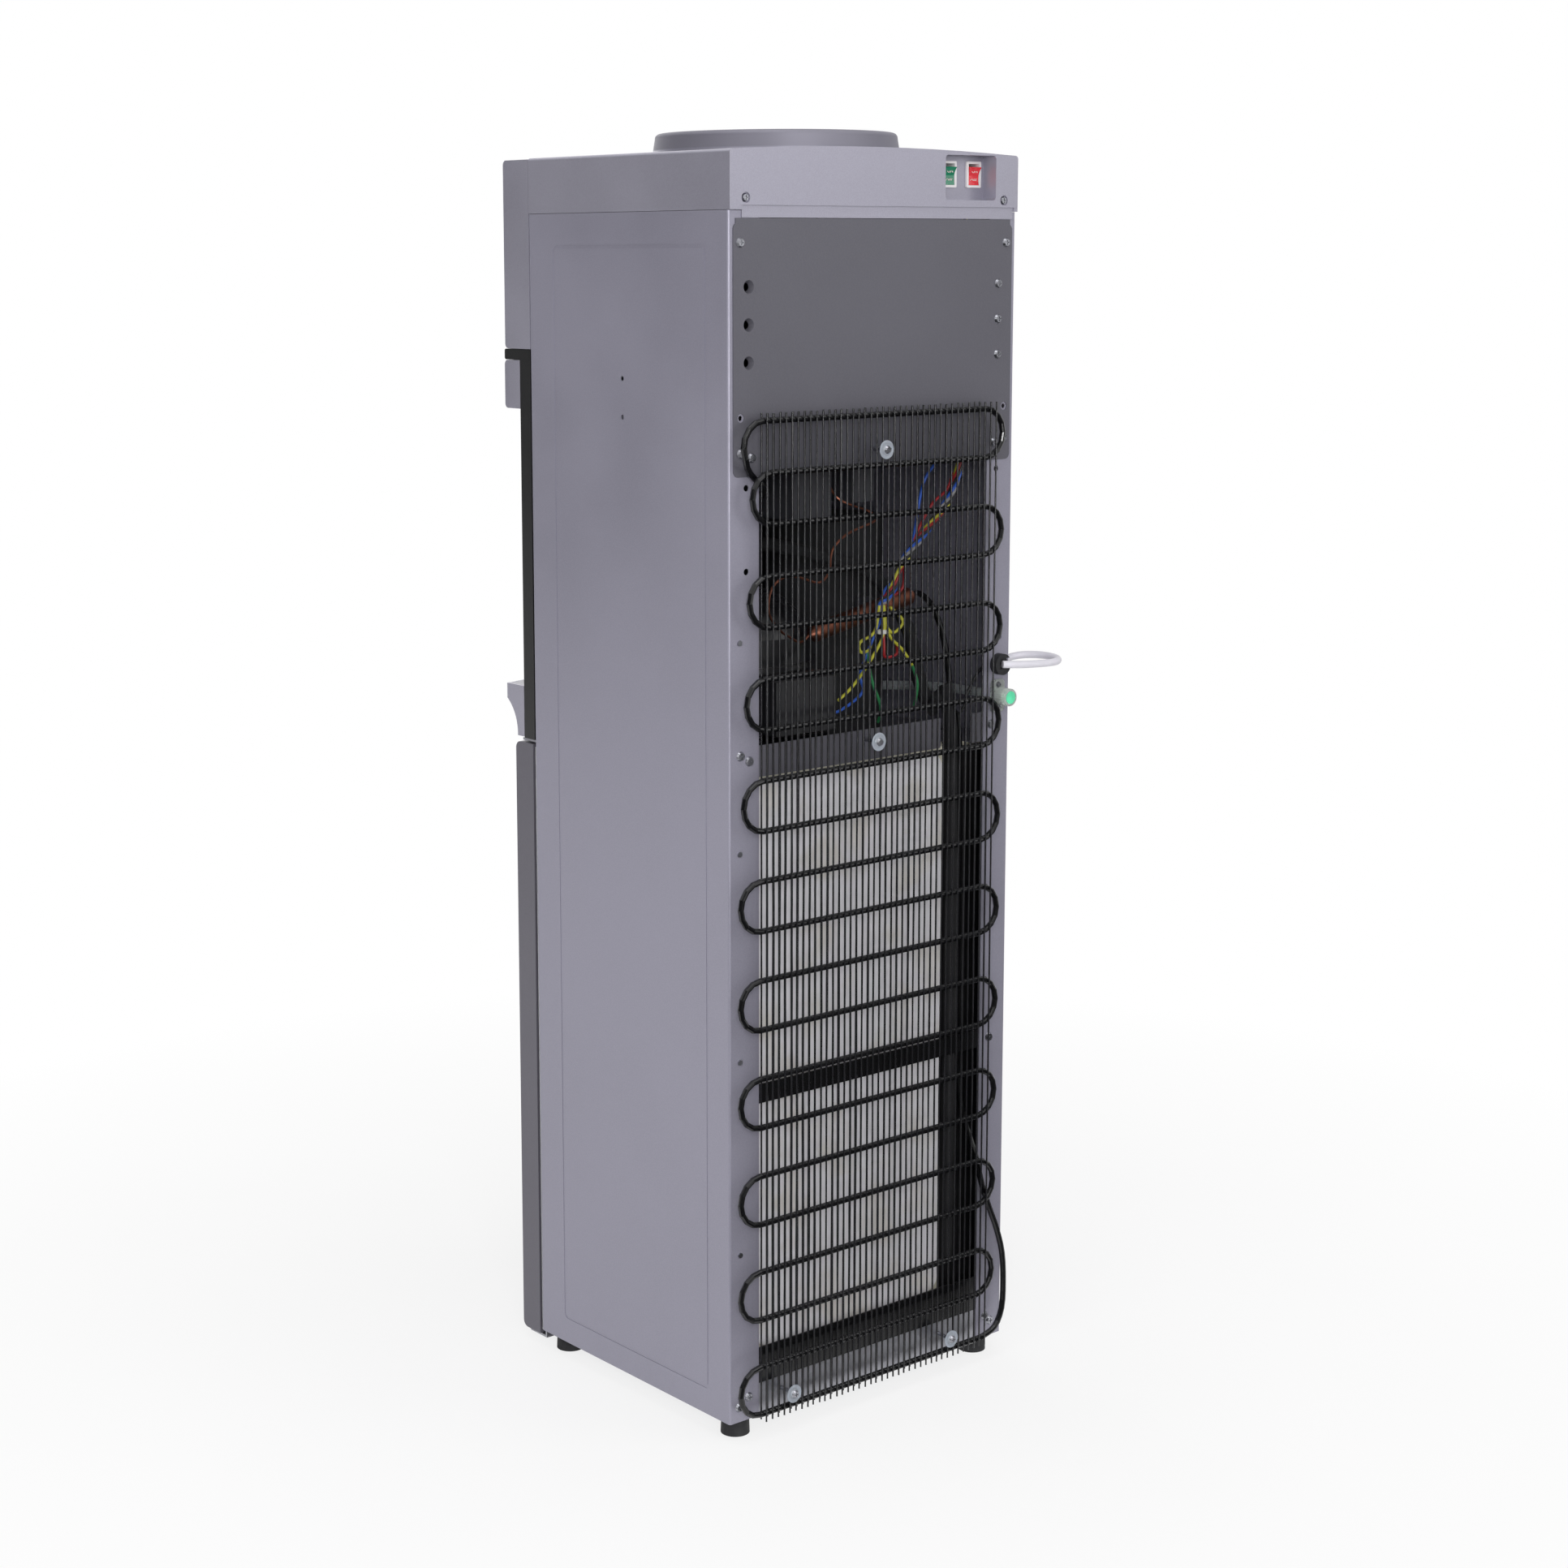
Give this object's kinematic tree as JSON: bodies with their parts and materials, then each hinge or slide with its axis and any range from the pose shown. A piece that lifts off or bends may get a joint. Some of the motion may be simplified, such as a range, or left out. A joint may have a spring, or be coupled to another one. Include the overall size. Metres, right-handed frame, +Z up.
{
  "type": "water cooler",
  "caption": "Floor-standing top-loading water cooler with tap recess, drip tray, hinged lower refrigerated cabinet and a wire-on-tube condenser on its back.",
  "frame": {"origin": "on the floor under the middle of the cooler (without its cord)", "axes": "+Z up, +Y towards the rear with the condenser, +X towards the side with the door's hinge"},
  "size_m": [0.424, 0.3364, 1.053],
  "materials": {
    "panel_paint": "satin",
    "dark_paint": "satin",
    "cover_plastic": "satin",
    "front_plastic": "satin",
    "black_plastic": "satin",
    "silver_plastic": "satin",
    "white_plastic": "satin",
    "clear_plastic": "glossy",
    "red_plastic": "glossy",
    "green_plastic": "glossy",
    "blue_plastic": "glossy",
    "black_paint": "glossy",
    "zinc_steel": "satin",
    "inner_steel": "matte",
    "stainless": "satin",
    "alloy": "satin",
    "copper": "satin",
    "black_rubber": "matte",
    "grey_rubber": "matte",
    "foam": "matte",
    "hose_silicone": "satin",
    "lead_cover": "satin",
    "cord_cover": "satin",
    "green_rubber": "satin"
  },
  "bodies": {
    "cabinet": {"side_panel_right": "panel_paint", "side_panel_left": "panel_paint", "base_pan": "zinc_steel", "feet": "black_rubber", "top_cover": "cover_plastic", "bottle_seat": "white_plastic", "upper_back_plate": "dark_paint", "upper_front_panel": "front_plastic", "indicator_lights": "red_plastic", "recess_panel": "black_plastic", "tap_fascia": "silver_plastic", "tap_bodies": "black_plastic", "tank_bracket": "inner_steel", "machine_shelf": "inner_steel", "fridge_liner": "white_plastic", "fridge_foam": "foam", "fridge_back_panel": "white_plastic", "fridge_shelf": "zinc_steel", "evaporator_plate": "alloy", "duct_cover": "black_plastic", "rear_cross_bars": "black_paint", "hinge_brackets": "zinc_steel", "cold_tank": "stainless", "cold_tank_foam": "black_rubber", "hot_tank": "stainless", "hot_tank_jacket": "black_rubber", "compressor": "black_paint", "compressor_mounts": "black_rubber", "relay_cover": "black_plastic", "filter_drier": "copper", "capillary_tube": "copper", "suction_line": "black_rubber", "liquid_line": "black_paint", "discharge_line": "black_paint", "condenser_tube": "black_paint", "condenser_wires": "black_paint", "condenser_washers": "clear_plastic", "condenser_screws": "zinc_steel", "rear_screws": "zinc_steel", "switch_bezels": "white_plastic", "water_hoses": "hose_silicone", "wiring_loom": "lead_cover", "thermostats": "black_plastic", "cord_gland": "black_plastic", "drain_socket": "white_plastic", "mains_cord": "cord_cover", "cord_coil": "cord_cover", "mains_plug": "cord_cover"},
    "door": {"door_panel": "front_plastic", "door_foam": "foam", "door_liner": "white_plastic", "door_gasket": "grey_rubber"},
    "tray": {"drip_tray": "silver_plastic"},
    "grille": {"drip_grille": "silver_plastic"},
    "heat_switch": {"heat_rocker": "red_plastic"},
    "cool_switch": {"cool_rocker": "green_plastic"},
    "hot_lever": {"hot_paddle": "red_plastic"},
    "cold_lever": {"cold_paddle": "blue_plastic"},
    "drain_seal": {"drain_plug": "green_rubber"},
    "drain_lid": {"drain_cap": "clear_plastic"}
  },
  "joints": [
    {"name": "door_hinge", "type": "hinge", "parent": "cabinet", "child": "door", "pos_m": [0.146, -0.12375, 0.276], "axis": [0, 0, 1], "range_deg": [0, 110]},
    {"name": "tray_slide", "type": "slide", "parent": "cabinet", "child": "tray", "axis": [0, -1, 0], "range_m": [0, 0.12]},
    {"name": "grille_lift", "type": "slide", "parent": "tray", "child": "grille", "axis": [0, 0, 1], "range_m": [0, 0.04]},
    {"name": "heat_rock", "type": "hinge", "parent": "cabinet", "child": "heat_switch", "pos_m": [-0.1174, 0.13455, 1.019], "axis": [1, 0, 0], "range_deg": [0, 24]},
    {"name": "cool_rock", "type": "hinge", "parent": "cabinet", "child": "cool_switch", "pos_m": [-0.0894, 0.13455, 1.019], "axis": [1, 0, 0], "range_deg": [0, 24]},
    {"name": "hot_press", "type": "hinge", "parent": "cabinet", "child": "hot_lever", "pos_m": [-0.038, -0.11725, 0.818], "axis": [1, 0, 0], "range_deg": [0, 14], "stiffness_Nm_per_rad": 0.04, "springref_deg": -5.73},
    {"name": "cold_press", "type": "hinge", "parent": "cabinet", "child": "cold_lever", "pos_m": [0.038, -0.11725, 0.818], "axis": [1, 0, 0], "range_deg": [0, 14], "stiffness_Nm_per_rad": 0.04, "springref_deg": -5.73},
    {"name": "seal_travel", "type": "slide", "parent": "cabinet", "child": "drain_seal", "axis": [0, 1, 0], "range_m": [0, 0.0075]},
    {"name": "cap_turn", "type": "hinge", "parent": "drain_seal", "child": "drain_lid", "pos_m": [-0.1402, 0.16075, 0.585], "axis": [0, 1, 0], "range_deg": [0, 1080]}
  ],
  "couplings": [
    {"joint": "cap_turn", "follows": "seal_travel", "rad_per_m": 2513.3}
  ]
}
